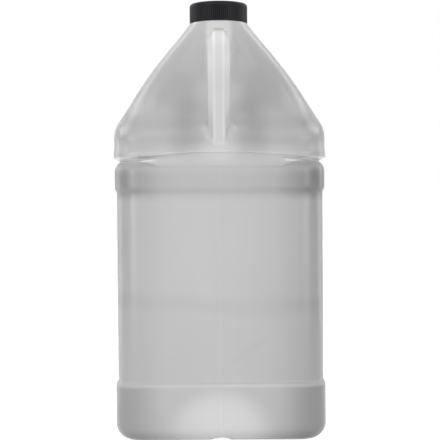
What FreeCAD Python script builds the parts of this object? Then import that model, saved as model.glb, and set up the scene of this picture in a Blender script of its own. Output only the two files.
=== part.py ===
import FreeCAD, Part
import Sketcher
import functools
import math
import os

# One-gallon square jug with a handle in its front shoulder and a ribbed screw cap.
# The origin is the middle of the base, +Z is up and the handle faces -Y.

doc = FreeCAD.newDocument("handled_jug")

# Driving sizes in millimetres, shares of them, and the number of ribs
SIZES = [
    ("wall", 1.0, "wall of the blow-moulded jug"),
    ("body_width", 138.8, "width of the jug over its two bumper bands, flat to flat"),
    ("panel_recess", 1.4, "depth of the label panel between the bumpers"),
    ("lip_overhang", 0.6, "how far the lip above the groove stands out over the bumpers"),
    ("corner_radius", 19.0, "upright corners of lip and shoulder"),
    ("base_radius", 11.0, "rounding between base and sides"),
    ("rest_width", 8.0, "width of the ring that the jug stands on"),
    ("push_up_height", 4.0, "height of the base's middle above that ring"),
    ("push_up_slope", 6.0, "how far the push-up draws in over its height"),
    ("channel_width", 15.0, "width of the base's channel along the mould's parting line"),
    ("channel_height", 2.3, "height of that channel"),
    ("lower_bumper_top", 36.0, "height of the lower bumper's top"),
    ("lower_step", 3.8, "height of the step from the lower bumper to the panel"),
    ("panel_height", 121.2, "height of the label panel"),
    ("upper_step", 5.5, "height of the step from the panel to the upper bumper"),
    ("upper_bumper_height", 10.0, "height of the upper bumper's flat"),
    ("bumper_crown", 7.0, "radius of that bumper's crown"),
    ("groove_depth", 4.0, "depth of the groove behind the bumper"),
    ("groove_flare", 2.6, "height of the groove's upper side"),
    ("lip_face", 3.1, "height of the lip's upright face"),
    ("shoulder_height", 92.3, "height from that face to the ledge under the cap"),
    ("ledge_width", 40.0, "width of that ledge"),
    ("ledge_flat", 1.0, "half of the straight length that each side of the ledge keeps"),
    # Shoulder: each rise is a share of its height, each draw and setback a share of the lip's half width
    ("slope_rise", 0.0921, "rise at which the front slopes back"),
    ("slope_setback", 0.0657, "setback of the front there"),
    ("eaves_rise", 0.1733, "rise at which the sides start to draw in"),
    ("eaves_draw", 0.0014, "draw of each side there"),
    ("eaves_setback", 0.183, "setback of the front there"),
    ("floor_rise", 0.2654, "rise of the finger pocket's floor"),
    ("floor_draw", 0.05, "draw of each side there"),
    ("floor_setback", 0.3429, "setback of the front there"),
    ("back_rise", 0.5255, "rise at which the pocket's back is upright"),
    ("back_draw", 0.2414, "draw of each side there"),
    ("back_setback", 0.6, "setback of the front there"),
    ("head_rise", 0.7746, "rise of the pocket's head"),
    ("head_draw", 0.4814, "draw of each side there"),
    ("head_setback", 0.6714, "setback of the front there"),
    # Handle, groove, neck and cap, in millimetres
    ("handle_width", 15.0, "width of the grip"),
    ("handle_depth", 17.0, "depth of the grip, front to back"),
    ("handle_flat", 6.8, "width of the flat along the grip's front"),
    ("handle_slant", 59.0, "slant of the grip's sides beside that flat, in degrees"),
    ("handle_ease", 1.2, "tangent length of the rounded creases along the grip"),
    ("handle_setback", 0.8, "distance of the grip's front behind the bumper"),
    ("handle_drop", 16.3, "how far the middle of the arm is below the ledge"),
    ("handle_bend", 24.0, "bend between arm and grip, on the middle line"),
    ("handle_root", 12.0, "distance from the axis where the arm starts"),
    ("handle_bury", 1.5, "how far above the bumper's flat the grip ends inside"),
    ("arm_blend", 5.0, "rounding where the arm meets the pocket's head"),
    ("foot_blend", 5.0, "rounding where the grip meets the bumper"),
    ("web_half", 40.0, "half width of the web that fills the groove at the front"),
    ("web_fade", 13.0, "width over which the web runs out at each side"),
    ("crest_half", 16.0, "half width over which the lip's lower edge is at its highest"),
    ("crest_fade", 37.0, "width over which that edge comes down at each side"),
    ("web_setback", 0.5, "distance of the closed groove's face behind the bumper"),
    ("neck_diameter", 34.4, "outside of the neck at the root of its thread"),
    ("neck_wall", 2.4, "wall of the neck"),
    ("neck_height", 11.0, "height of the neck's rim above the ledge"),
    ("neck_root", 4.0, "how far neck and bore reach down into the shoulder"),
    ("thread_room", 1.6, "room for the thread between neck and cap"),
    ("liner_gap", 0.4, "gap between the foam liner and the cap's bore"),
    ("liner_thickness", 1.2, "thickness of that liner"),
    ("cap_wall", 1.3, "wall of the cap, over the tips of its ribs"),
    ("cap_top_wall", 1.6, "top of the cap"),
    ("skirt_gap", 0.6, "gap between the cap's skirt and the ledge"),
    ("cap_round", 1.8, "rounding of the cap's upper edge"),
    ("rib_count", 90, "ribs round the cap"),
    ("rib_depth", 0.4, "depth of the notches between the ribs"),
    ("rib_notch", 0.8, "width of those notches"),
    ("rib_margin", 2.6, "plain band above the ribs"),
]

# Sizes that follow from the driving ones
DERIVED = [
    ("panel_width", "body_width - 2 * panel_recess", "width of the label panel"),
    ("lip_width", "body_width + 2 * lip_overhang", "width of the lip"),
    ("panel_bottom", "lower_bumper_top + lower_step", "height where the panel starts"),
    ("panel_top", "panel_bottom + panel_height", "height where the panel ends"),
    ("upper_bumper_bottom", "panel_top + upper_step", "height where the upper bumper starts"),
    ("upper_bumper_top", "upper_bumper_bottom + upper_bumper_height", "height where its crown starts"),
    ("crown_rise", "sqrt(groove_depth * (2 * bumper_crown - groove_depth))", "height of that crown"),
    ("lip_bottom", "upper_bumper_top + crown_rise + groove_flare", "height of the lip's lower edge"),
    ("lip_top", "lip_bottom + lip_face", "height where the shoulder starts"),
    ("ledge_height", "lip_top + shoulder_height", "height of the ledge under the cap"),
    ("slope_height", "lip_top + shoulder_height * slope_rise", "height of the slope"),
    ("eaves_height", "lip_top + shoulder_height * eaves_rise", "height of the eaves"),
    ("floor_height", "lip_top + shoulder_height * floor_rise", "height of the floor"),
    ("back_height", "lip_top + shoulder_height * back_rise", "height of the back"),
    ("head_height", "lip_top + shoulder_height * head_rise", "height of the head"),
    ("handle_arm_height", "ledge_height - handle_drop", "height of the middle of the arm"),
    ("handle_foot", "upper_bumper_top + handle_bury", "height where the grip ends"),
    ("neck_top", "ledge_height + neck_height", "height of the neck's rim"),
    ("neck_bore", "neck_diameter - 2 * neck_wall", "bore of the neck"),
    ("cap_bore", "neck_diameter + 2 * thread_room", "inside of the cap"),
    ("cap_diameter", "cap_bore + 2 * cap_wall", "outside of the cap"),
    ("cap_height", "neck_height + liner_thickness + cap_top_wall - skirt_gap", "height of the cap"),
    ("liner_diameter", "cap_bore - 2 * liner_gap", "outside of the liner"),
]
sheet = doc.addObject("Spreadsheet::Sheet", "sizes")
rows = SIZES + [(alias, "=" + formula, meaning) for alias, formula, meaning in DERIVED]
for row, (alias, size, meaning) in enumerate(rows, start=1):
    sheet.set(f"A{row}", meaning)
    sheet.set(f"B{row}", str(size))
    sheet.setAlias(f"B{row}", alias)
doc.recompute()


# Sketching with expressions

def value(expression):
    """Number that an expression over the sheet gives."""
    return float(sheet.evalExpression(expression))


def origin_plane(body, role):
    return next(f for f in body.Origin.OriginFeatures if f.Role == role)


def new_sketch(body, name, role, height="0"):
    """Sketch on one of the body's origin planes, moved along the plane's normal."""
    sketch = body.newObject("Sketcher::SketchObject", name)
    sketch.AttachmentSupport = (origin_plane(body, role), "")
    sketch.MapMode = "FlatFace"
    sketch.setExpression("AttachmentOffset.Base.z", height)
    return sketch


def arc_from_tangent(start, end, heading):
    """Arc that leaves start along heading, whether it turns left, and its heading at the end."""
    chord = end - start
    normal = FreeCAD.Vector(-heading.y, heading.x, 0)
    reach = chord.dot(chord) / (2 * chord.dot(normal))
    centre = start + normal * reach
    left = reach > 0
    first, last = (start, end) if left else (end, start)
    angles = [math.atan2(p.y - centre.y, p.x - centre.x) for p in (first, last)]
    arc = Part.ArcOfCircle(Part.Circle(centre, FreeCAD.Vector(0, 0, 1), abs(reach)), *angles)
    spoke = (end - centre) * (1 if left else -1)
    return arc, left, FreeCAD.Vector(-spoke.y, spoke.x, 0).normalize()


def draw(sketch, corners, closed=True):
    """Chain of edges through corners (x, y, edge), with each coordinate an expression.

    The edge that leaves a corner is a "line", or an "arc" that is tangent there to the edge before.
    """
    places = [FreeCAD.Vector(value(x), value(y), 0) for x, y, _ in corners]
    count = len(corners) if closed else len(corners) - 1
    ends = []
    heading = None
    for index in range(count):
        start = places[index]
        end = places[(index + 1) % len(places)]
        if corners[index][2] == "line":
            sketch.addGeometry(Part.LineSegment(start, end))
            heading = (end - start).normalize()
            ends.append((1, 2))
        else:
            arc, left, heading = arc_from_tangent(start, end, heading)
            sketch.addGeometry(arc)
            ends.append((1, 2) if left else (2, 1))
    for index in range(0 if closed else 1, count):
        before = (index - 1) % count
        kind = "Tangent" if corners[index][2] == "arc" else "Coincident"
        sketch.addConstraint(Sketcher.Constraint(kind, before, ends[before][1], index, ends[index][0]))
    for index, (x, y, _) in enumerate(corners):
        edge = min(index, count - 1)
        end = ends[edge][0] if index < count else ends[edge][1]
        for kind, axis, expression in (("DistanceX", -2, x), ("DistanceY", -1, y)):
            if expression == "0":
                sketch.addConstraint(Sketcher.Constraint("PointOnObject", edge, end, axis))
                continue
            rule = sketch.addConstraint(Sketcher.Constraint(kind, -1, 1, edge, end, value(expression)))
            sketch.setExpression(f"Constraints[{rule}]", expression)
    return sketch


def draw_circle(sketch, diameter):
    centre = FreeCAD.Vector(0, 0, 0)
    circle = sketch.addGeometry(Part.Circle(centre, FreeCAD.Vector(0, 0, 1), value(diameter) / 2))
    sketch.addConstraint(Sketcher.Constraint("Coincident", circle, 3, -1, 1))
    rule = sketch.addConstraint(Sketcher.Constraint("Diameter", circle, value(diameter)))
    sketch.setExpression(f"Constraints[{rule}]", diameter)
    return sketch


def rounded_outline(half, front, rear, corner):
    """Corners of a rounded rectangle from x = -half to half and from y = -front to rear."""
    inner = f"({half}) - ({corner})"
    low = f"({corner}) - ({front})"
    high = f"({rear}) - ({corner})"
    return [
        (half, low, "line"),
        (half, high, "arc"),
        (inner, rear, "line"),
        (f"-({inner})", rear, "arc"),
        (f"-({half})", high, "line"),
        (f"-({half})", low, "arc"),
        (f"-({inner})", f"-({front})", "line"),
        (inner, f"-({front})", "arc"),
    ]


def square_outline(half, corner):
    return rounded_outline(half, half, half, corner)


def mirrored_outline(right):
    """Outline that continues the corners on the right with their mirror images on the left.

    The edge that leaves a mirrored corner is the one that reaches the corner on the right."""
    edges = [edge for _, _, edge in right]
    left = [(f"-({x})", y, edge) for (x, y, _), edge in zip(reversed(right), reversed(edges[:-1]))]
    return right + left


# Features

def feature(body, kind, name, sketch, **bound):
    """PartDesign feature made from a sketch, with properties bound to expressions."""
    made = body.newObject(f"PartDesign::{kind}", name)
    made.Profile = sketch
    for key, expression in bound.items():
        made.setExpression(key, expression)
    return made


def pipe(body, name, section, path):
    made = feature(body, "AdditivePipe", name, section)
    made.Spine = path
    doc.recompute()
    return made


def loft(body, kind, name, sketches):
    made = feature(body, kind, name, sketches[0])
    made.Sections = sketches[1:]
    doc.recompute()
    return made


def fillet(body, name, wanted, radius):
    """Rounding of the tip's edges for which wanted(edge, shape) holds."""
    base = body.Tip
    shape = base.Shape
    names = [f"Edge{i}" for i, edge in enumerate(shape.Edges, start=1) if wanted(edge, shape)]
    made = body.newObject("PartDesign::Fillet", name)
    made.Base = (base, names)
    made.setExpression("Radius", radius)
    doc.recompute()
    return made


TOUCH = 0.01


# Jug

def side_profile(inset):
    """Section of the jug's side from base to lip, moved in by the inset."""
    bumper = f"sizes.body_width / 2 - {inset}"
    panel = f"sizes.panel_width / 2 - {inset}"
    lip = f"sizes.lip_width / 2 - {inset}"
    between = f"(sizes.body_width + sizes.panel_width) / 4 - {inset}"
    base_start = "sizes.body_width / 2 - sizes.base_radius"
    lower_middle = "(sizes.lower_bumper_top + sizes.panel_bottom) / 2"
    upper_middle = "(sizes.panel_top + sizes.upper_bumper_bottom) / 2"
    crown = f"(sizes.bumper_crown - {inset})"
    root = f"({crown} - sizes.groove_depth)"
    crown_rise = f"sqrt({crown} * {crown} - {root} * {root})"
    return [
        (CORE, inset, "line"),
        (base_start, inset, "arc"),
        (bumper, "sizes.base_radius", "line"),
        (bumper, "sizes.lower_bumper_top", "arc"),
        (between, lower_middle, "arc"),
        (panel, "sizes.panel_bottom", "line"),
        (panel, "sizes.panel_top", "arc"),
        (between, upper_middle, "arc"),
        (bumper, "sizes.upper_bumper_bottom", "line"),
        (bumper, "sizes.upper_bumper_top", "arc"),
        (f"{bumper} - sizes.groove_depth", f"sizes.upper_bumper_top + {crown_rise}", "line"),
        (lip, f"sizes.lip_bottom + {inset}", "line"),
        (lip, "sizes.lip_top", "line"),
        (CORE, "sizes.lip_top", "line"),
    ]


# The core is drawn in behind the base's rounding, and laps over the wall that the profile makes.
CORE_SETBACK = 1.25
CORE_LAP = 0.125
CORE = f"sizes.body_width / 2 - sizes.base_radius * {CORE_SETBACK}"
CORE_OUTLINE = f"{CORE} + sizes.base_radius * {CORE_LAP}"
CORE_CORNER = "sizes.corner_radius / 4"
PATH_CORNER = "sizes.corner_radius - (sizes.lip_width - sizes.body_width) / 2"


def add_side(body, name, inset):
    """Side wall as a profile led round the jug's square outline, filled by a core."""
    path = new_sketch(body, name + "_path", "XY_Plane")
    draw(path, square_outline("sizes.body_width / 2", PATH_CORNER))
    profile = draw(new_sketch(body, name + "_profile", "XZ_Plane"), side_profile(inset))
    pipe(body, name + "_side", profile, path)
    core = new_sketch(body, name + "_core_outline", "XY_Plane", inset)
    draw(core, square_outline(CORE_OUTLINE, CORE_CORNER))
    feature(body, "Pad", name + "_core", core, Length=f"sizes.lip_top - {inset}")
    doc.recompute()


def shoulder_sections(inset):
    """Half width, front, corner and height of the shoulder's sections, from the lip up to the ledge."""
    lip = "sizes.lip_width / 2"
    corner = "sizes.corner_radius"
    rows = [
        (lip, lip, corner, "sizes.lip_top"),
        (lip, f"{lip} * (1 - sizes.slope_setback)", corner, "sizes.slope_height"),
    ]
    for place in ("eaves", "floor", "back", "head"):
        half = f"{lip} * (1 - sizes.{place}_draw)"
        front = f"{lip} * (1 - sizes.{place}_setback)"
        rows.append((half, front, corner, f"sizes.{place}_height"))
    ledge = "sizes.ledge_width / 2"
    rows.append((ledge, ledge, f"{ledge} - sizes.ledge_flat", f"sizes.ledge_height - {inset}"))
    return rows


def add_shoulder(body, name, inset):
    """Pyramid from lip to neck whose front leans back to make room for the fingers."""
    outlines = []
    for index, (half, front, corner, height) in enumerate(shoulder_sections(inset)):
        outline = new_sketch(body, f"{name}_shoulder_{index}", "XY_Plane", height)
        side = f"{half} - {inset}"
        draw(outline, rounded_outline(side, f"{front} - {inset}", side, f"{corner} - {inset}"))
        outlines.append(outline)
    loft(body, "AdditiveLoft", name + "_shoulder", outlines)


def handle_section(inset):
    """Section of the grip where the arm starts: flat on the outside, rounded for the palm."""
    half = f"(sizes.handle_width / 2 - {inset})"
    slant = "(sizes.handle_slant * 1 deg)"
    flat = f"(sizes.handle_flat / 2 - {inset} * tan({slant} / 2))"
    ease = "sizes.handle_ease"
    ease_in = f"{ease} * cos({slant})"
    ease_down = f"{ease} * sin({slant})"
    top = f"(sizes.handle_arm_height + sizes.handle_depth / 2 - {inset})"
    side = f"({top} - ({half} - {flat}) * tan({slant}))"
    low = "sizes.handle_arm_height - (sizes.handle_depth - sizes.handle_width) / 2"
    right = [
        (half, low, "line"),
        (half, f"{side} - {ease}", "arc"),
        (f"{half} - {ease_in}", f"{side} + {ease_down}", "line"),
        (f"{flat} + {ease_in}", f"{top} - {ease_down}", "arc"),
        (f"{flat} - {ease}", top, "line"),
    ]
    outline = mirrored_outline(right)
    palm = outline[-1]
    return outline[:-1] + [(palm[0], palm[1], "arc")]


def add_handle(body, name, inset):
    """Handle as a tube from the neck, forward and down into the lip."""
    reach = "(sizes.body_width / 2 - sizes.handle_setback - sizes.handle_depth / 2)"
    path = new_sketch(body, name + "_handle_path", "YZ_Plane")
    draw(path, [
        ("-sizes.handle_root", "sizes.handle_arm_height", "line"),
        (f"sizes.handle_bend - {reach}", "sizes.handle_arm_height", "arc"),
        (f"-{reach}", "sizes.handle_arm_height - sizes.handle_bend", "line"),
        (f"-{reach}", "sizes.handle_foot", "line"),
    ], closed=False)
    section = new_sketch(body, name + "_handle_section", "XZ_Plane", "sizes.handle_root")
    draw(section, handle_section(inset))
    pipe(body, name + "_handle", section, path)
    middle = value("sizes.back_height")
    for end, low, high in (("arm", middle, math.inf), ("foot", 0, middle)):
        seam = functools.partial(is_handle_seam, low=low, high=high)
        fillet(body, f"{name}_{end}_blend", seam, f"sizes.{end}_blend")


def is_handle_seam(edge, shape, low, high):
    """True for an edge, between these heights, where a face of the handle meets a face of the body."""
    if edge.BoundBox.ZMin < low or edge.BoundBox.ZMax > high:
        return False
    half = value("sizes.handle_width / 2") + TOUCH
    faces = shape.ancestorsOfType(edge, Part.Face)
    return sum(all(abs(corner.X) < half for corner in face.Vertexes) for face in faces) == 1


def add_web(body, name, inset):
    """Web that fills the groove at the front, so that only its ends at the corners stay open."""
    front = f"-(sizes.body_width / 2 - sizes.web_setback - {inset})"
    rear = f"-(sizes.body_width / 2 - sizes.groove_depth - {inset})"
    near = "sizes.web_half"
    far = "sizes.web_half + sizes.web_fade"
    outline = new_sketch(body, name + "_web_outline", "XY_Plane", "sizes.upper_bumper_top")
    draw(outline, [
        (far, rear, "line"),
        (f"-({far})", rear, "line"),
        (f"-{near}", front, "line"),
        (near, front, "line"),
    ])
    feature(body, "Pad", name + "_web", outline, Length="sizes.lip_top - sizes.upper_bumper_top")
    doc.recompute()


def add_crest(body, name, inset):
    """Cut that draws the lip's lower edge up towards the handle."""
    far = "sizes.crest_half + sizes.crest_fade"
    near = "sizes.crest_half"
    low = "sizes.lip_bottom - sizes.groove_flare"
    edge = f"sizes.lip_bottom + {inset}"
    top = f"sizes.lip_top + {inset}"
    face = f"sizes.body_width / 2 - sizes.web_setback - {inset}"
    right = [(far, low, "line"), (far, edge, "line"), (near, top, "line")]
    outline = new_sketch(body, name + "_crest_outline", "XZ_Plane", face)
    draw(outline, mirrored_outline(right))
    cut = feature(body, "Pocket", name + "_crest", outline, Length="sizes.groove_depth")
    cut.Reversed = True
    doc.recompute()


def add_base(body, name, inset):
    """Push-up in the base and the channel along the parting line."""
    start = f"(sizes.body_width / 2 - sizes.base_radius - sizes.rest_width + {inset})"
    corner = "sizes.corner_radius / 2"
    low = draw(new_sketch(body, name + "_push_up_low", "XY_Plane"), square_outline(start, corner))
    high = new_sketch(body, name + "_push_up_high", "XY_Plane", f"sizes.push_up_height + {inset}")
    draw(high, square_outline(f"{start} - sizes.push_up_slope", corner))
    loft(body, "SubtractiveLoft", name + "_push_up", [low, high])
    half_squared = "sizes.channel_width * sizes.channel_width / 4"
    height_squared = "sizes.channel_height * sizes.channel_height"
    radius = f"(({half_squared} + {height_squared}) / (2 * sizes.channel_height))"
    channel = body.newObject("PartDesign::SubtractiveCylinder", name + "_channel")
    channel.AttachmentSupport = (origin_plane(body, "XZ_Plane"), "")
    channel.MapMode = "FlatFace"
    channel.setExpression("Radius", f"{radius} + {inset}")
    channel.setExpression("Height", "sizes.lip_width * 2")
    channel.setExpression("AttachmentOffset.Base.y", f"sizes.channel_height - {radius}")
    channel.setExpression("AttachmentOffset.Base.z", "-sizes.lip_width")
    doc.recompute()


def add_ring(body, name, diameter, bottom, top):
    """Cylinder on the axis: the neck's outside, or its bore in the cavity."""
    sketch = draw_circle(new_sketch(body, name + "_outline", "XY_Plane", bottom), diameter)
    feature(body, "Pad", name, sketch, Length=f"({top}) - ({bottom})")
    doc.recompute()


def make_form(name, inset):
    body = doc.addObject("PartDesign::Body", name)
    for step in (add_side, add_shoulder, add_web, add_crest, add_handle, add_base):
        step(body, name, inset)
    return body


def make_jug():
    """Thin-walled jug: its outside less its cavity."""
    outside = make_form("jug_outside", "0")
    root = "sizes.ledge_height - sizes.neck_root"
    add_ring(outside, "jug_neck", "sizes.neck_diameter", root, "sizes.neck_top")
    cavity = make_form("jug_cavity", "sizes.wall")
    add_ring(cavity, "jug_bore", "sizes.neck_bore", root, "sizes.neck_top + sizes.wall")
    jug = doc.addObject("Part::Cut", "jug_body")
    jug.Base = outside
    jug.Tool = cavity
    doc.recompute()
    return jug


# Cap and liner

LINER_TOP = "sizes.neck_top + sizes.liner_thickness"
CAP_TOP = f"{LINER_TOP} + sizes.cap_top_wall"
CAP_BOTTOM = f"{CAP_TOP} - sizes.cap_height"


def make_cap():
    body = doc.addObject("PartDesign::Body", "screw_cap")
    tip = "sizes.cap_diameter / 2"
    bore = "sizes.cap_bore / 2"
    profile = new_sketch(body, "cap_profile", "XZ_Plane")
    draw(profile, [
        (bore, CAP_BOTTOM, "line"),
        (tip, CAP_BOTTOM, "line"),
        (tip, f"{CAP_TOP} - sizes.cap_round", "arc"),
        (f"{tip} - sizes.cap_round", CAP_TOP, "line"),
        ("0", CAP_TOP, "line"),
        ("0", LINER_TOP, "line"),
        (bore, LINER_TOP, "line"),
    ])
    shell = feature(body, "Revolution", "cap_shell", profile)
    shell.ReferenceAxis = (profile, ["V_Axis"])
    shell.Angle = 360
    doc.recompute()
    notch = new_sketch(body, "cap_notch_outline", "XY_Plane", CAP_BOTTOM)
    outer = f"{tip} + sizes.rib_depth"
    half = "sizes.rib_notch"
    draw(notch, [
        (f"{tip} - sizes.rib_depth", "0", "line"),
        (outer, half, "line"),
        (outer, f"-{half}", "line"),
    ])
    cut = feature(body, "Pocket", "cap_notch", notch, Length="sizes.cap_height - sizes.rib_margin")
    cut.Reversed = True
    doc.recompute()
    ribs = body.newObject("PartDesign::PolarPattern", "cap_ribs")
    ribs.Originals = [cut]
    ribs.Axis = (notch, ["N_Axis"])
    ribs.Angle = 360
    ribs.setExpression("Occurrences", "sizes.rib_count")
    body.Tip = ribs
    doc.recompute()
    return body


def make_liner():
    liner = doc.addObject("Part::Cylinder", "cap_liner")
    liner.setExpression("Radius", "sizes.liner_diameter / 2")
    liner.setExpression("Height", "sizes.liner_thickness")
    liner.setExpression("Placement.Base.z", "sizes.neck_top")
    doc.recompute()
    return liner


pieces = [make_jug(), make_cap(), make_liner()]

for thing in doc.Objects:
    if "Invalid" in thing.State or "Error" in thing.State:
        raise SystemExit(f"{thing.Name} failed: {thing.State}")
for piece in pieces:
    if len(piece.Shape.Solids) != 1 or not piece.Shape.isValid():
        raise SystemExit(f"{piece.Label} isn't one valid solid")

os.makedirs("parts", exist_ok=True)
for piece in pieces:
    piece.Shape.exportStep(f"parts/{piece.Label}.step")
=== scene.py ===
import math

import bmesh
import bpy
from mathutils import Matrix, Vector


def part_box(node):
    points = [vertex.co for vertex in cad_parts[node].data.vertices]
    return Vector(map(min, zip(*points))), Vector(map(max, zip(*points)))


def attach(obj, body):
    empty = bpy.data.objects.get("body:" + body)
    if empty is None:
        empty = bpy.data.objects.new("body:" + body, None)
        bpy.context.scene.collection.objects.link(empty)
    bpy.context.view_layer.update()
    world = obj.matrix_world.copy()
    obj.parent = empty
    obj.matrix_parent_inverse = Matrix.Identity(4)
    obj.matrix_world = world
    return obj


# Handled square jug in milky plastic with a black ribbed screw cap.
# Lengths are in metres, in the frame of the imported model: +Z up, handle towards -Y.
# Materials work in millimetres.

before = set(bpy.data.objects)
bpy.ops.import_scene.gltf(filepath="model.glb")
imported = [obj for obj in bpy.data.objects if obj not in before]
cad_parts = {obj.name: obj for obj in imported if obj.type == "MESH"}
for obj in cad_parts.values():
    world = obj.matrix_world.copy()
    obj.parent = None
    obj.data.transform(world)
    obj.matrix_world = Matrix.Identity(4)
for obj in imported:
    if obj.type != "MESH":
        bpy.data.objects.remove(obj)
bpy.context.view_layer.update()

MM = 0.001
NECK_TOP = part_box("cap_liner")[0].z


# Camera

IMAGE_WIDTH = 440
FOCAL_PIXELS = 1422.6
SENSOR = 36.0
CAMERA_PLACE = Vector((0.1, -993.0, 144.3)) * MM
CAMERA_ROLL = math.radians(-0.4)


def make_camera():
    data = bpy.data.cameras.new("camera")
    data.sensor_width = SENSOR
    data.lens = SENSOR * FOCAL_PIXELS / IMAGE_WIDTH
    camera = bpy.data.objects.new("camera", data)
    upright = Matrix.Rotation(math.radians(90), 4, "X")
    rolled = Matrix.Rotation(CAMERA_ROLL, 4, "Z")
    camera.matrix_world = Matrix.Translation(CAMERA_PLACE) @ upright @ rolled
    bpy.context.scene.collection.objects.link(camera)
    bpy.context.scene.camera = camera


# Node trees

class Reading:
    """What a node gives. Arithmetic on a number adds Math nodes."""

    def __init__(self, tree, socket):
        self.tree = tree
        self.socket = socket

    def math(self, operation, *values):
        return self.tree.node("ShaderNodeMath", {"operation": operation}, dict(enumerate(values)))

    def __add__(self, other):
        return self.math("ADD", self, other)

    def __radd__(self, other):
        return self.math("ADD", other, self)

    def __sub__(self, other):
        return self.math("SUBTRACT", self, other)

    def __rsub__(self, other):
        return self.math("SUBTRACT", other, self)

    def __mul__(self, other):
        return self.math("MULTIPLY", self, other)

    def __rmul__(self, other):
        return self.math("MULTIPLY", other, self)

    def __truediv__(self, other):
        return self.math("DIVIDE", self, other)

    def __rtruediv__(self, other):
        return self.math("DIVIDE", other, self)

    def __abs__(self):
        return self.math("ABSOLUTE", self)

    def smaller(self, other):
        return self.math("MINIMUM", self, other)

    def larger(self, other):
        return self.math("MAXIMUM", self, other)

    def smooth(self, start, end, first, last):
        """First up to start, last from end on, and a smooth change between."""
        limits = {0: self, 1: start, 2: end, 3: first, 4: last}
        return self.tree.node("ShaderNodeMapRange", {"interpolation_type": "SMOOTHSTEP"}, limits)

    def fade(self, full, none):
        """1 up to full and 0 from none on."""
        return self.smooth(full, none, 1.0, 0.0)

    def rise(self, none, full):
        """0 up to none and 1 from full on."""
        return self.smooth(none, full, 0.0, 1.0)

    def near(self, place, full, none):
        """1 within the distance full of a place, and 0 from the distance none on."""
        return abs(self - place).fade(full, none)


class Tree:
    """A node tree that is filled one node at a time."""

    def __init__(self, tree):
        self.tree = tree
        tree.nodes.clear()

    def node(self, kind, settings=None, inputs=None, output=0):
        """Adds a node of that kind: its settings first, then the values or links of its sockets."""
        node = self.tree.nodes.new(kind)
        for key, setting in (settings or {}).items():
            setattr(node, key, setting)
        for key, given in (inputs or {}).items():
            if isinstance(given, Reading):
                self.tree.links.new(given.socket, node.inputs[key])
            else:
                node.inputs[key].default_value = given
        return Reading(self, node.outputs[output]) if node.outputs else None

    def place(self):
        """Place on the object, in millimetres."""
        metres = self.node("ShaderNodeTexCoord", output="Object")
        return self.node("ShaderNodeVectorMath", {"operation": "SCALE"}, {0: metres, "Scale": 1 / MM})

    def axes(self, place):
        return [self.node("ShaderNodeSeparateXYZ", inputs={0: place}, output=axis) for axis in "XYZ"]

    def noise(self, place, size, detail=2.0):
        """Noise about 0 with features of that size, which may differ along the three axes."""
        scale = Vector(size if isinstance(size, tuple) else (size,) * 3)
        scaled = self.node("ShaderNodeVectorMath", {"operation": "DIVIDE"}, {0: place, 1: scale})
        inputs = {"Vector": scaled, "Scale": 1.0, "Detail": detail}
        return self.node("ShaderNodeTexNoise", inputs=inputs) - 0.5

    def grey(self, tone, blue=1.0):
        """Colour of a tone, with its blue times a factor."""
        return self.node("ShaderNodeCombineColor", inputs={0: tone, 1: tone, 2: tone * blue})

    def bump(self, height):
        """Normal of a surface that swells by a height in millimetres."""
        return self.node("ShaderNodeBump", inputs={"Distance": MM, "Height": height})

    def seen(self):
        """1 for what the camera sees itself, in a reflection or through something clear."""
        kinds = ("Is Camera Ray", "Is Glossy Ray", "Is Transmission Ray")
        camera, mirrored, passed = [self.node("ShaderNodeLightPath", output=kind) for kind in kinds]
        return camera.larger(mirrored).larger(passed)


def new_material(name):
    material = bpy.data.materials.new(name)
    material.use_nodes = True
    return material, Tree(material.node_tree)


def dress(node, material):
    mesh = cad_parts[node].data
    mesh.materials.clear()
    mesh.materials.append(material)


# Milky plastic of the jug

PLAIN_TONE = 0.459
# Painted light: the tone falls off from left to right, as if lit from the left.
PAINTED_LIGHT_LOST_RIGHTWARDS = 0.00064
WHITEST = 0.95

# What each area adds to the tone. Most are painted light and shade; band and streak only darken a horizontal
# band and a diagonal streak.
AREA_TONES = {
    "middle": 0.079,
    "corner": -0.143,
    "upper_bumper": -0.075,
    "groove": 0.393,
    "painted_web_end_shade": -0.014,
    "painted_lip_light": 0.043,
    "lower_step": 0.057,
    "painted_underside_shade": -0.064,
    "painted_foot_glow": 0.207,
    "band": -0.029,
    "streak": -0.018,
    "shoulder": -0.050,
    "eaves": -0.093,
    "pocket": -0.114,
    "painted_halo_light": 0.157,
    "painted_arch_light": 0.272,
    "grip": 0.050,
    "painted_grip_side_light": 0.011,
    "painted_crease_highlight": 0.064,
}

# Heights of those areas
FOOT_PATCH = 8.0
LOWER_BUMPER = 18.0
LOWER_STEP = 37.5
STREAK = 60.0
BAND = 89.0
WEB = 183.0
GROOVE = 184.0
LIP = 188.0
POCKET = 203.0
EAVES = 208.0

# Distances from the middle of a side
CREASE_OUT = 3.2
STREAK_OUT = 18.0
POCKET_OUT = 20.0
WEB_END_OUT = 47.0

# Slopes of the band and the streak, and the half width and half height of the painted glow at the foot
STREAK_SLOPE = 0.7
BAND_SLOPE = -0.04
PATCH_HALF_WIDTH = 38.73
PATCH_HALF_HEIGHT = 30.0


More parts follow.
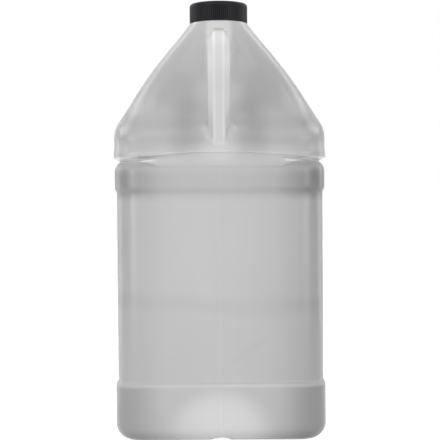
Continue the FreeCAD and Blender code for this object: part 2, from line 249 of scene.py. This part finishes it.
def body_areas(x, y, z, cloud):
    """Areas of the body and the groove above it, most of them painted light or shade: about 1 inside, 0
    outside and soft between.
    """
    across = abs(x).smaller(abs(y))
    outwards = abs(x).larger(abs(y))
    upper_bumper = z.rise(155.0, 164.0) * z.fade(172.0, 184.0)
    lower_bumper = z.near(LOWER_BUMPER, 16.0, 20.0)
    corner = across.rise(32.0, 60.0) * z.fade(186.0, 200.0)
    groove = z.near(GROOVE, 1.2, 1.8) * outwards.fade(67.6, 68.8)
    patch_x = x / PATCH_HALF_WIDTH
    patch_z = (z - FOOT_PATCH) / PATCH_HALF_HEIGHT
    patch = (patch_x * patch_x + patch_z * patch_z).fade(0.0, 1.0)
    along_band = z - x * BAND_SLOPE + cloud * 20.0
    along_streak = z - (x - STREAK_OUT) * STREAK_SLOPE + cloud * 6.0
    return {
        # Painted light: the middle of each side lighter, falling off towards the corners.
        "middle": across.fade(0.0, 70.0),
        # Painted shade in the rounded corners, strongest on the two bumpers.
        "corner": corner * (0.4 + lower_bumper * 0.7 + upper_bumper * 0.55),
        # Painted shade on the upper bumper below the lip.
        "upper_bumper": upper_bumper,
        # Painted light in the groove against its own shade, palest towards the corners.
        "groove": groove * (0.5 + across.rise(44.0, 52.0) * 0.5),
        # Painted shade at both ends of the web below the groove.
        "painted_web_end_shade": across.near(WEB_END_OUT, 4.0, 8.0) * z.near(WEB, 3.0, 4.0),
        # Painted light along the lip, a painted reflection of light from above.
        "painted_lip_light": z.near(LIP, 3.0, 9.0),
        # Painted highlight along the top edge of the lower step.
        "lower_step": z.near(LOWER_STEP, 1.0, 3.0),
        # Painted shade on the rounding under the foot.
        "painted_underside_shade": z.fade(2.0, 9.0),
        # Painted glow at the front of the foot, as of light coming up through the base.
        "painted_foot_glow": patch * y.fade(-50.0, -30.0),
        "band": along_band.near(BAND, 1.0, 9.0),
        "streak": along_streak.near(STREAK, 0.5, 5.0) * x.near(STREAK_OUT, 6.0, 16.0),
    }


def shoulder_areas(x, y, z):
    """Areas of the shoulder, the finger pocket and the handle, all painted light or shade: about 1 inside, 0
    outside and soft between.
    """
    out = abs(x)
    front = y.fade(-20.0, -12.0)
    grip = out.fade(8.0, 9.5) * y.fade(-53.0, -49.0) * z.rise(192.0, 200.0)
    beside = 1.0 - grip
    painted_halo_light = out.fade(9.0, 22.0) * z.rise(184.0, 192.0) * z.fade(230.0, 248.0)
    painted_arch_light = out.fade(6.5, 10.5) * z.rise(230.0, 270.0)
    return {
        # Painted shade on the shoulder slopes, which face up away from the light.
        "shoulder": z.rise(192.0, 206.0) * z.fade(230.0, 265.0) * beside,
        # Painted shade on the corners of the shoulder's lower edge.
        "eaves": out.smaller(abs(y)).rise(50.0, 66.0) * z.near(EAVES, 4.0, 14.0),
        # Painted shadow of the handle in the finger pocket on either side of it.
        "pocket": out.near(POCKET_OUT, 3.0, 18.0) * z.near(POCKET, 9.0, 27.0) * front * beside,
        # Painted light around the handle's foot and sides in the finger pocket.
        "painted_halo_light": painted_halo_light * (0.5 + z.rise(200.0, 206.0) * 0.5) * front * beside,
        # Painted light on the arch of the handle and the front of the neck above it.
        "painted_arch_light": painted_arch_light * (0.55 + z.fade(272.0, 276.0) * 0.45) * front,
        # Painted light on the front of the handle grip.
        "grip": grip,
        # Painted light on the slanted sides of the grip.
        "painted_grip_side_light": grip * out.rise(2.8, 4.0),
        # Painted highlight lines along the grip's two creases.
        "painted_crease_highlight": grip * out.near(CREASE_OUT, 0.4, 1.3),
    }


def natural_plastic(name, depth, lift):
    """Milky blown plastic, with light and shade painted into its tone by place on the object.

    Depth is the share of light that goes into it, and lift is added to its tone.
    """
    material, tree = new_material(name)
    place = tree.place()
    x, y, z = tree.axes(place)
    cloud = tree.noise(place, 60.0)
    drawn = tree.noise(place, (12.0, 12.0, 160.0))
    grain = tree.noise(place, 1.2, detail=1.0)
    # Painted light falls off to the right; cloud and drawn add random tone.
    tone = PLAIN_TONE + lift - x * PAINTED_LIGHT_LOST_RIGHTWARDS + cloud * 0.036 + drawn * 0.021
    areas = body_areas(x, y, z, cloud) | shoulder_areas(x, y, z)
    for area, added in AREA_TONES.items():
        tone = tone + areas[area] * added
    plastic = tree.node("ShaderNodeBsdfPrincipled", inputs={
        "Base Color": tree.grey(tone.smaller(WHITEST)),
        "Roughness": 0.22 + cloud * 0.06 + grain * 0.04,
        "IOR": 1.54,
        "Specular IOR Level": 0.4,
        "Subsurface Weight": depth,
        "Subsurface Radius": (1.0, 1.0, 1.0),
        "Subsurface Scale": 6 * MM,
        "Normal": tree.bump(cloud * 0.3 + drawn * 0.1 + grain * 0.01),
    })
    tree.node("ShaderNodeOutputMaterial", inputs={"Surface": plastic})
    return material


# Cap and liner

def black_plastic():
    """Moulded black plastic with a soft gloss and fine grain."""
    material, tree = new_material("black_plastic")
    place = tree.place()
    grain = tree.noise(place, 0.7, detail=1.0)
    scuff = tree.noise(place, (3.0, 3.0, 16.0))
    plastic = tree.node("ShaderNodeBsdfPrincipled", inputs={
        "Base Color": tree.grey(0.011 + scuff * 0.004, blue=1.3),
        "Roughness": 0.36 + grain * 0.10 + scuff * 0.08,
        "IOR": 1.5,
        "Specular IOR Level": 0.12,
        "Normal": tree.bump(grain * 0.02),
    })
    tree.node("ShaderNodeOutputMaterial", inputs={"Surface": plastic})
    return material


def liner_foam():
    """Pale matt foam with fine cells."""
    material, tree = new_material("liner_foam")
    cells = tree.noise(tree.place(), 0.6)
    foam = tree.node("ShaderNodeBsdfPrincipled", inputs={
        "Base Color": tree.grey(0.86 + cells * 0.10, blue=0.96),
        "Roughness": 0.85,
        "Normal": tree.bump(cells * 0.06),
    })
    tree.node("ShaderNodeOutputMaterial", inputs={"Surface": foam})
    return material


# Beads along a path

BEAD_SIDES = 10
BEAD_END_SHARE = 0.2
BEAD_INPUTS = {
    "Path": "Geometry",
    "Radius": "Float",
    "Spacing": "Float",
    "Taper": "Float",
    "Material": "Material",
}


def bead_tree():
    """Geometry Nodes that lead a round bead along the edges of a mesh, thinner towards its ends."""
    group = bpy.data.node_groups.new("bead", "GeometryNodeTree")
    keys = {}
    for name, kind in BEAD_INPUTS.items():
        socket = group.interface.new_socket(name, in_out="INPUT", socket_type="NodeSocket" + kind)
        keys[name] = socket.identifier
    group.interface.new_socket("Bead", in_out="OUTPUT", socket_type="NodeSocketGeometry")
    tree = Tree(group)
    given = [tree.node("NodeGroupInput", output=name) for name in BEAD_INPUTS]
    path, radius, spacing, taper, material = given
    curve = tree.node("GeometryNodeMeshToCurve", inputs={"Mesh": path})
    even = tree.node("GeometryNodeResampleCurve", {"mode": "LENGTH"}, {"Curve": curve, "Length": spacing})
    along = tree.node("GeometryNodeSplineParameter", output="Length")
    rest = tree.node("GeometryNodeSplineLength", output="Length") - along
    full = (along.smaller(rest) / taper).smaller(1.0).larger(BEAD_END_SHARE)
    ring = tree.node("GeometryNodeCurvePrimitiveCircle", inputs={"Resolution": BEAD_SIDES, "Radius": radius})
    tube = tree.node("GeometryNodeCurveToMesh", inputs={
        "Curve": even,
        "Profile Curve": ring,
        "Scale": full,
        "Fill Caps": True,
    })
    smooth = tree.node("GeometryNodeSetShadeSmooth", inputs={"Geometry": tube})
    solid = tree.node("GeometryNodeRealizeInstances", inputs={"Geometry": smooth})
    done = tree.node("GeometryNodeSetMaterial", inputs={"Geometry": solid, "Material": material})
    tree.node("NodeGroupOutput", inputs={"Bead": done})
    return group, keys


BEAD_TREE, BEAD_KEYS = bead_tree()


def bead(name, points, edges, sizes, body, material):
    """A bead along a path of points and edges. It rides on a body and takes the given material."""
    mesh = bpy.data.meshes.new(name)
    mesh.from_pydata(points, edges, [])
    made = bpy.data.objects.new(name, mesh)
    bpy.context.scene.collection.objects.link(made)
    modifier = made.modifiers.new("bead", "NODES")
    modifier.node_group = BEAD_TREE
    for key, size in sizes.items():
        modifier[BEAD_KEYS[key]] = size
    modifier[BEAD_KEYS["Material"]] = material
    bpy.context.view_layer.update()
    graph = bpy.context.evaluated_depsgraph_get()
    made.data = bpy.data.meshes.new_from_object(made.evaluated_get(graph))
    made.modifiers.clear()
    made.data.name = name
    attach(made, body)


# Threads of the neck and the cap

NECK_THREAD_RADIUS = 17.5 * MM
CAP_THREAD_RADIUS = 18.4 * MM
THREAD_LEAD = 4.233 * MM
THREAD_TURNS = 1.25
THREAD_STEPS = 90
THREAD_DROP = 7.5 * MM
THREAD_SIZES = {"Radius": 0.9 * MM, "Spacing": 0.6 * MM, "Taper": 6 * MM}


def thread(name, radius, turn, body, material):
    """One right-hand turn and a quarter of thread, which starts at an angle of that share of a turn."""
    points = []
    for step in range(THREAD_STEPS + 1):
        turned = THREAD_TURNS * step / THREAD_STEPS
        angle = (turn + turned) * math.tau
        height = NECK_TOP - THREAD_DROP + THREAD_LEAD * turned
        points.append((radius * math.cos(angle), radius * math.sin(angle), height))
    edges = [(step, step + 1) for step in range(THREAD_STEPS)]
    bead(name, points, edges, THREAD_SIZES, body, material)


# Parting seam of the jug

SEAM_SIZES = {"Radius": 0.25 * MM, "Spacing": 1.0 * MM, "Taper": 2 * MM}
SEAM_SINK = 0.13 * MM
SEAM_LOW = 4 * MM
SEAM_HIGH = 182 * MM


def parting_seam(material):
    """Fine raised line where the two halves of the mould met: up the middle of the front and back."""
    shape = bmesh.new()
    shape.from_mesh(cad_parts["jug_body"].data)
    everything = shape.verts[:] + shape.edges[:] + shape.faces[:]
    cut = bmesh.ops.bisect_plane(shape, geom=everything, plane_co=(0, 0, 0), plane_no=(1, 0, 0))["geom_cut"]
    outside = []
    for edge in cut:
        if isinstance(edge, bmesh.types.BMEdge):
            middle = (edge.verts[0].co + edge.verts[1].co) / 2
            facing = sum((face.normal for face in edge.link_faces), Vector())
            if facing.y * middle.y > 0 and SEAM_LOW < middle.z < SEAM_HIGH:
                outside.append((edge, facing.normalized()))
    points = []
    numbers = {}
    for edge, facing in outside:
        for corner in edge.verts:
            if corner not in numbers:
                numbers[corner] = len(points)
                points.append(corner.co - facing * SEAM_SINK)
    edges = [[numbers[corner] for corner in edge.verts] for edge, facing in outside]
    shape.free()
    bead("parting_seam", points, edges, SEAM_SIZES, "jug", material)


# Stage

FLOOR_SIZE = 12.0
FLOOR_SET_BACK = 3.0
FLOOR_WHITE = (0.92, 0.92, 0.92, 1.0)
FLOOR_GLOW = 0.85
WORLD_WHITE = (1.0, 1.0, 1.0, 1.0)
WORLD_LIGHT = 0.247
LAMP_AIM = Vector((0, 0, 150)) * MM

# Each lamp's name, place, width, height and power in watts
FRONT_LAMP = ("front", (-0.1, -1.45, 0.2), 2.4, 2.0, 19.4)

# Lamps on both sides, placed as on the right
PAIRED_LAMPS = (
    ("front", (1.1, -1.2, 0.35), 0.7, 1.2, 6.0),
    ("side", (0.97, -0.31, 0.8), 0.3, 0.3, 0.8),
    ("rim", (0.85, 0.75, 1.35), 0.45, 0.6, 1.8),
    ("back", (1.1, 0.45, 0.25), 0.5, 1.0, 2.1),
    ("top", (0.35, 0.1, 1.4), 0.7, 0.6, 1.8),
)


def stage_white():
    """White floor: it takes the object's shadow, and where it is lit it is seen as white."""
    material, tree = new_material("stage_white")
    paper = tree.node("ShaderNodeBsdfDiffuse", inputs={"Color": FLOOR_WHITE})
    glow = tree.node("ShaderNodeEmission", inputs={"Strength": tree.seen() * FLOOR_GLOW})
    both = tree.node("ShaderNodeAddShader", inputs={0: paper, 1: glow})
    tree.node("ShaderNodeOutputMaterial", inputs={"Surface": both})
    return material


def make_world():
    """White studio, brighter to the camera than it lights."""
    world = bpy.data.worlds.new("studio")
    bpy.context.scene.world = world
    world.use_nodes = True
    tree = Tree(world.node_tree)
    strength = WORLD_LIGHT + tree.seen() * (1.0 - WORLD_LIGHT)
    sky = tree.node("ShaderNodeBackground", inputs={"Color": WORLD_WHITE, "Strength": strength})
    tree.node("ShaderNodeOutputWorld", inputs={"Surface": sky})


def softbox(name, place, width, height, power):
    data = bpy.data.lights.new(name, "AREA")
    data.shape = "RECTANGLE"
    data.size = width
    data.size_y = height
    data.energy = power
    lamp = bpy.data.objects.new(name, data)
    lamp.location = place
    lamp.rotation_mode = "QUATERNION"
    lamp.rotation_quaternion = (LAMP_AIM - Vector(place)).to_track_quat("-Z", "Y")
    bpy.context.scene.collection.objects.link(lamp)


def make_stage():
    bpy.ops.mesh.primitive_plane_add(size=FLOOR_SIZE, location=(0, FLOOR_SET_BACK, 0))
    floor = bpy.context.object
    floor.name = "floor"
    floor.data.materials.append(stage_white())
    softbox(*FRONT_LAMP)
    for hand, way in (("left", -1), ("right", 1)):
        for name, (x, y, z), width, height, power in PAIRED_LAMPS:
            softbox(name + "_" + hand, (way * x, y, z), width, height, power)


# The whole scene

bpy.context.scene.view_settings.view_transform = "Standard"
make_camera()
make_world()
make_stage()
natural = natural_plastic("natural_plastic", depth=0.6, lift=0.0)
# The seam and threads take a lifted tone, painted light against the shade on their thin beads.
thin_natural = natural_plastic("thin_natural_plastic", depth=0.0, lift=0.06)
black = black_plastic()
dress("jug_body", natural)
dress("screw_cap", black)
dress("cap_liner", liner_foam())
parting_seam(thin_natural)
thread("neck_thread", NECK_THREAD_RADIUS, 0.0, "jug", thin_natural)
thread("cap_thread", CAP_THREAD_RADIUS, 0.5, "cap", black)
